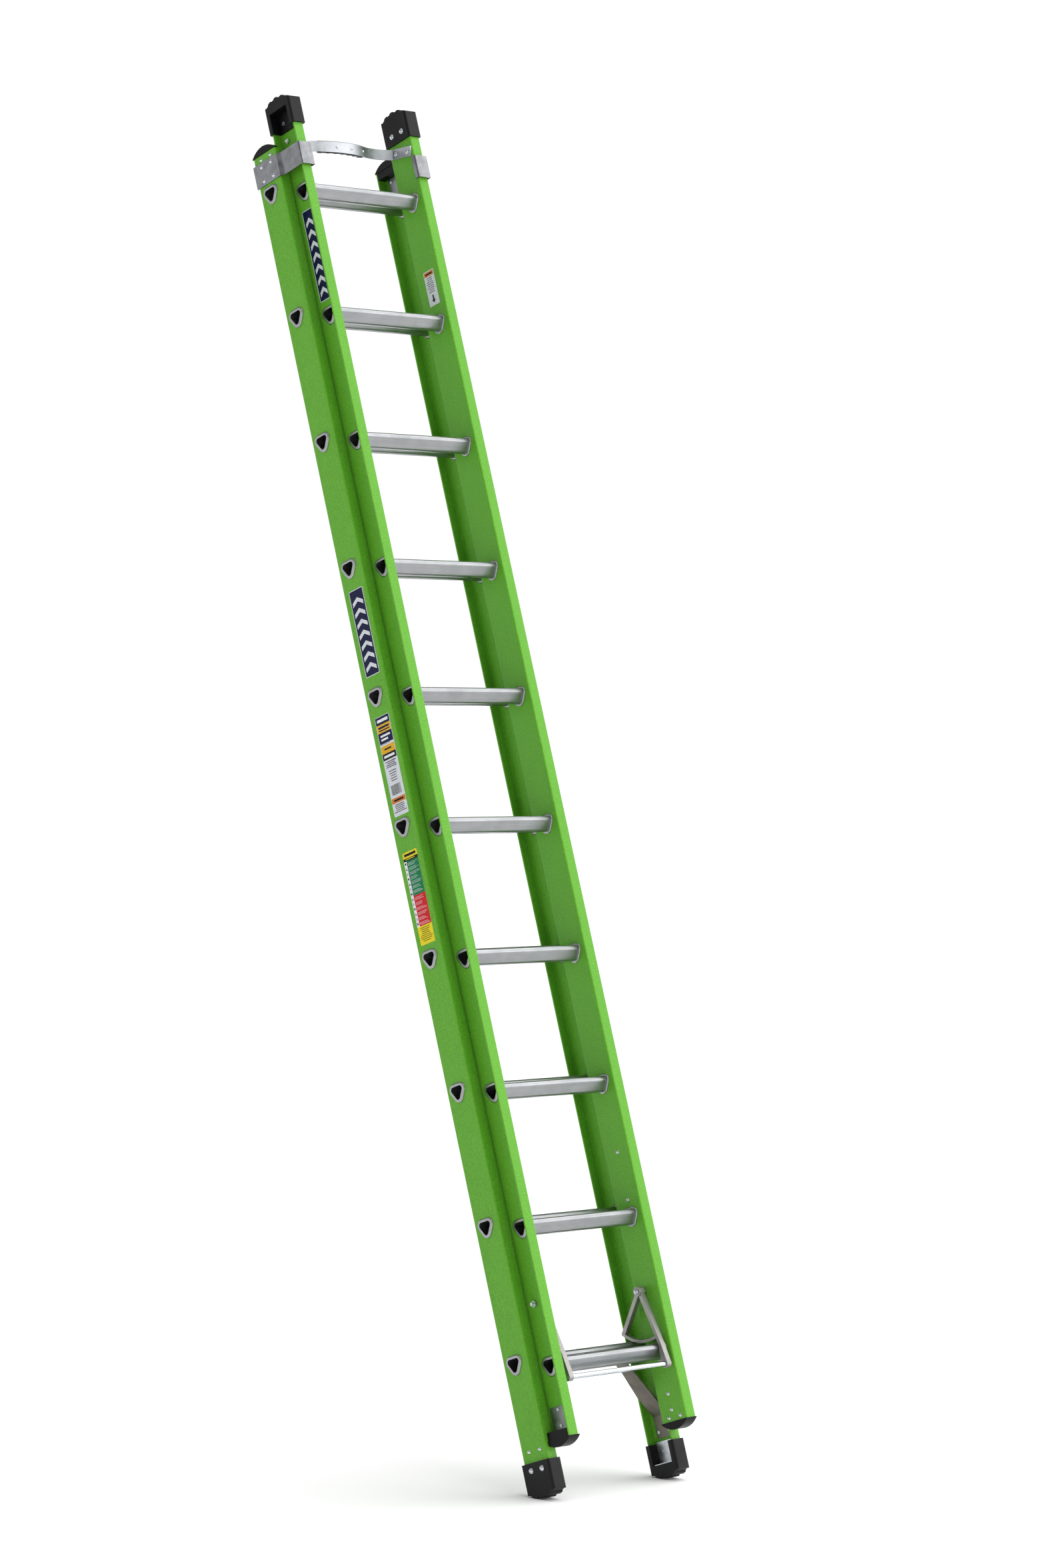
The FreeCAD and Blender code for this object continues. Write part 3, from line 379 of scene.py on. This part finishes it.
class Label:
    """A thin printed label on a web that faces left, towards -X.

    u runs across it and v down it, in millimetres from its top left corner as it is read. across and up are
    its edges along Y and Z of the rail coordinates. A label laid out at another height has its v stretched.
    """

    def __init__(self, name, body, web_x, across, up, ground, laid_out=None):
        self.mesh = bmesh.new()
        self.name = name
        self.body = body
        self.web_x = web_x
        self.left = across[1]
        self.top = up[1]
        self.width = across[1] - across[0]
        self.height = laid_out or up[1] - up[0]
        self.stretch = (up[1] - up[0]) / self.height
        self.inks = []
        self.film(ground)

    def corner(self, u, v, height):
        """A new vertex of the mesh, height millimetres above the web."""
        return self.mesh.verts.new(at(self.web_x - height, self.left - u, self.top - v * self.stretch))

    def face(self, corners, ink_name):
        """A face that looks the way its corners run anticlockwise."""
        if ink_name not in self.inks:
            self.inks.append(ink_name)
        self.mesh.faces.new(corners).material_index = self.inks.index(ink_name)

    def film(self, ground):
        """The label's own sheet, with rounded corners and a cut edge."""
        right = self.width - FILM_CORNER
        bottom = self.height - FILM_CORNER
        outline = []
        for u, v, start in (
            (FILM_CORNER, FILM_CORNER, 180),
            (right, FILM_CORNER, 270),
            (right, bottom, 0),
            (FILM_CORNER, bottom, 90),
        ):
            for step in range(CORNER_STEPS + 1):
                angle = math.radians(start + step * 90 / CORNER_STEPS)
                outline.append((u + FILM_CORNER * math.cos(angle), v + FILM_CORNER * math.sin(angle)))
        low = [self.corner(u, v, FILM_BACK) for u, v in outline]
        high = [self.corner(u, v, FILM_FACE) for u, v in outline]
        self.face(high[::-1], ground)
        self.face(low, ground)
        for i in range(len(outline)):
            j = (i + 1) % len(outline)
            self.face((high[i], high[j], low[j], low[i]), ground)

    def shape(self, points, ink_name, layer=PRINT):
        """A flat printed shape through (u, v) points, which run clockwise as the label is read."""
        corners = [self.corner(u, v, FILM_FACE + layer * LAYER) for u, v in points]
        self.face(corners[::-1], ink_name)

    def block(self, u0, v0, u1, v1, ink_name, layer=PRINT):
        """A printed rectangle from its top left corner to its bottom right one."""
        self.shape([(u0, v0), (u1, v0), (u1, v1), (u0, v1)], ink_name, layer)

    def lines(self, u0, u1, v0, v1, count, ink_name, rng, thick=0.42, centred=False):
        """Rows of short bars that stand for small print; thick is a bar's share of its row."""
        pitch = (v1 - v0) / count
        for row in range(count):
            length = (u1 - u0) * rng.uniform(SHORTEST_ROW, 1)
            start = (u0 + u1 - length) / 2 if centred else u0
            v = v0 + row * pitch
            cursor = start
            while cursor < start + length - SHORTEST_WORD:
                word = min(rng.uniform(*WORD_LENGTHS), start + length - cursor)
                self.block(cursor, v, cursor + word, v + pitch * thick, ink_name, OVERPRINT)
                cursor += word + WORD_GAP

    def finish(self):
        """Turns the label into an object on its body."""
        data = bpy.data.meshes.new(self.name)
        self.mesh.to_mesh(data)
        self.mesh.free()
        for name in self.inks:
            data.materials.append(INKS[name])
        thing = bpy.data.objects.new(self.name, data)
        SCENE.collection.objects.link(thing)
        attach(thing, self.body)


def stripe_label(name, body, web_x, across, up):
    """Navy label with a white rule round it and a column of plain chevrons."""
    label = Label(name, body, web_x, across, up, "white")
    edge = 1.6
    label.block(edge, edge, label.width - edge, label.height - edge, "navy")
    inset = 6
    margin = 12
    count = 7
    pitch = (label.height - 2 * margin) / count
    middle = label.width / 2
    outer = label.width - inset
    arm = pitch * 0.42
    thick = arm * 0.9
    for row in range(count):
        tip = margin + (row + 0.25) * pitch
        foot = tip + arm
        left_arm = [(inset, foot), (middle, tip), (middle, tip + thick), (inset, foot + thick)]
        right_arm = [(middle, tip), (outer, foot), (outer, foot + thick), (middle, tip + thick)]
        label.shape(left_arm, "white", OVERPRINT)
        label.shape(right_arm, "white", OVERPRINT)
    label.finish()


def data_label():
    """The rating label: stacked colour bands, small print, a bar pattern and an orange band."""
    rng = random.Random(11)
    label = Label("rating_label", "base", BASE_LEFT, (83, 132), (1248, 1476), "white", laid_out=249)
    edge = 1.2
    wide = label.width - edge
    bands = [(edge, 20, "navy"), (20, 40, "gold"), (40, 67, "navy"), (73, 92, "gold"), (92, 108, "black")]
    for v0, v1, ink_name in bands:
        label.block(edge, v0, wide, v1, ink_name)
    label.block(6, 7, wide - 5, 14, "pale", OVERPRINT)
    label.block(6, 25, wide - 5, 30, "navy", OVERPRINT)
    label.block(6, 33, wide - 5, 36, "navy", OVERPRINT)
    label.block(8, 46, wide - 7, 51, "pale", OVERPRINT)
    label.block(8, 55, wide - 16, 60, "pale", OVERPRINT)
    label.lines(3, wide - 2, 68, 72, 1, "black", rng, 0.3)
    label.block(12, 80, wide - 12, 84, "black", OVERPRINT)
    label.block(6, 97, wide - 6, 103, "pale", OVERPRINT)
    label.lines(4, wide - 3, 112, 130, 4, "black", rng, 0.55, centred=True)
    label.lines(10, wide - 9, 136, 166, 5, "black", rng, 0.4, centred=True)
    side = 8
    cursor = side
    while cursor < label.width - side:
        bar = rng.choice((0.5, 0.9, 1.4))
        label.block(cursor, 172, cursor + bar, 197, "black", OVERPRINT)
        cursor += bar + rng.choice((0.5, 0.8, 1.1))
    label.block(edge, 204, wide, 217, "orange")
    label.block(9, 208, wide - 7, 213, "black", OVERPRINT)
    label.lines(3, wide - 2, 220, 242, 5, "black", rng, 0.5, centred=True)
    label.finish()


def colour_label():
    """The use label: a yellow head, a green and a red block beside a column of plain marks, a yellow foot."""
    rng = random.Random(5)
    label = Label("use_label", "base", BASE_LEFT, (84, 133), (955, 1165), "yellow", laid_out=222)
    width = label.width
    edge = 0.2
    column = 8.5
    label.block(5, 4, width - 5, 10, "black")
    label.block(edge, 14, width - edge, 21, "black")
    label.lines(8, width - 6, 16, 20, 1, "yellow", rng, 0.5)
    label.block(column, 21, width - edge, 104, "green")
    label.block(column, 104, width - edge, 178, "red")
    label.block(edge, 21, column, 178, "pale")
    for row in range(7):
        label.lines(column + 3, width - 3, 26 + row * 11, 34 + row * 11, 3, "pale", rng, 0.24)
    for row in range(6):
        label.lines(column + 3, width - 3, 109 + row * 12, 117 + row * 12, 3, "pale", rng, 0.24)
    for row in range(13):
        v = 24 + row * 12
        if row % 3 == 0:
            label.block(2, v, 6.4, v + 5, "black", OVERPRINT)
        elif row % 3 == 1:
            label.shape([(4.2, v), (6.8, v + 5.5), (1.6, v + 5.5)], "black", OVERPRINT)
        else:
            label.block(2.6, v, 3.6, v + 6, "black", OVERPRINT)
            label.block(4.8, v, 5.8, v + 6, "black", OVERPRINT)
    label.lines(4, width - 4, 182, 217, 8, "black", rng, 0.4, centred=True)
    label.finish()


def arrow_label():
    """The small white label inside the fly's right rail: an orange band, small print and a down arrow."""
    rng = random.Random(3)
    label = Label("arrow_label", "fly", FLY_RIGHT, (18, 53), (2447, 2531), "white", laid_out=100)
    width = label.width
    label.block(2, 2.5, width - 2, 15, "orange")
    label.block(6, 6.5, width - 6, 11, "black", OVERPRINT)
    label.lines(4, width - 4, 19, 66, 8, "black", rng, 0.4, centred=True)
    middle = width / 2
    label.block(middle - 2.4, 70, middle + 2.4, 83, "black", OVERPRINT)
    label.shape([(middle - 6.5, 83), (middle + 6.5, 83), (middle, 93)], "black", OVERPRINT)
    label.finish()


stripe_label("base_stripe_label", "base", BASE_LEFT, (83, 131), (1570, 1771))
stripe_label("fly_stripe_label", "fly", FLY_LEFT, (24, 61), (2438, 2657))
data_label()
colour_label()
arrow_label()


# ---------------------------------------------------------------- floor, backdrop and light
FLOOR_REACH = 400
FLOOR_DARK = (0.95, 0.95, 0.95, 1)
FLOOR_LIGHT = (0.97, 0.97, 0.97, 1)
BACKDROP = 1.05
WALLS = 0.12
CEILING = 0.85


def make_floor():
    """A pale floor that reaches far past the camera's view."""
    data = bpy.data.meshes.new("floor")
    shape = bmesh.new()
    bmesh.ops.create_grid(shape, x_segments=2, y_segments=2, size=FLOOR_REACH)
    shape.to_mesh(data)
    shape.free()
    floor = bpy.data.objects.new("floor", data)
    SCENE.collection.objects.link(floor)
    paint = Paint("floor", roughness=0.95)
    tone = paint.noise((0.4, 0.4, 0.4), 2)
    paint.base(paint.ramp(tone, [(0.3, FLOOR_DARK), (0.7, FLOOR_LIGHT)]))
    paint.plain("Specular IOR Level", 0.1)
    data.materials.append(paint.material)


def make_world():
    """A white backdrop all round the horizon, dim walls above it and a bright ceiling."""
    world = bpy.data.worlds.new("studio")
    SCENE.world = world
    world.use_nodes = True
    tree = world.node_tree
    place = tree.nodes.new("ShaderNodeTexCoord")
    split = tree.nodes.new("ShaderNodeSeparateXYZ")
    tree.links.new(place.outputs["Generated"], split.inputs["Vector"])
    ramp = tree.nodes.new("ShaderNodeValToRGB")
    tree.links.new(split.outputs["Z"], ramp.inputs["Fac"])
    stops = [(0.22, BACKDROP), (0.38, WALLS), (0.5, WALLS), (0.9, CEILING)]
    while len(ramp.color_ramp.elements) < len(stops):
        ramp.color_ramp.elements.new(0.5)
    for element, (level, tone) in zip(ramp.color_ramp.elements, stops):
        element.position = level
        element.color = (tone, tone, tone, 1)
    tree.links.new(ramp.outputs["Color"], tree.nodes["Background"].inputs["Color"])


def soft_sun(name, direction, angle, strength):
    """A wide soft light that comes from a direction."""
    data = bpy.data.lights.new(name, "SUN")
    data.energy = strength
    data.angle = math.radians(angle)
    light = bpy.data.objects.new(name, data)
    SCENE.collection.objects.link(light)
    light.rotation_euler = Vector(direction).to_track_quat("Z", "Y").to_euler()


make_floor()
make_world()
soft_sun("key", direction=(0.50, -0.50, 0.71), angle=90, strength=3.0)
SCENE.view_settings.view_transform = "Standard"
SCENE.view_settings.look = "None"
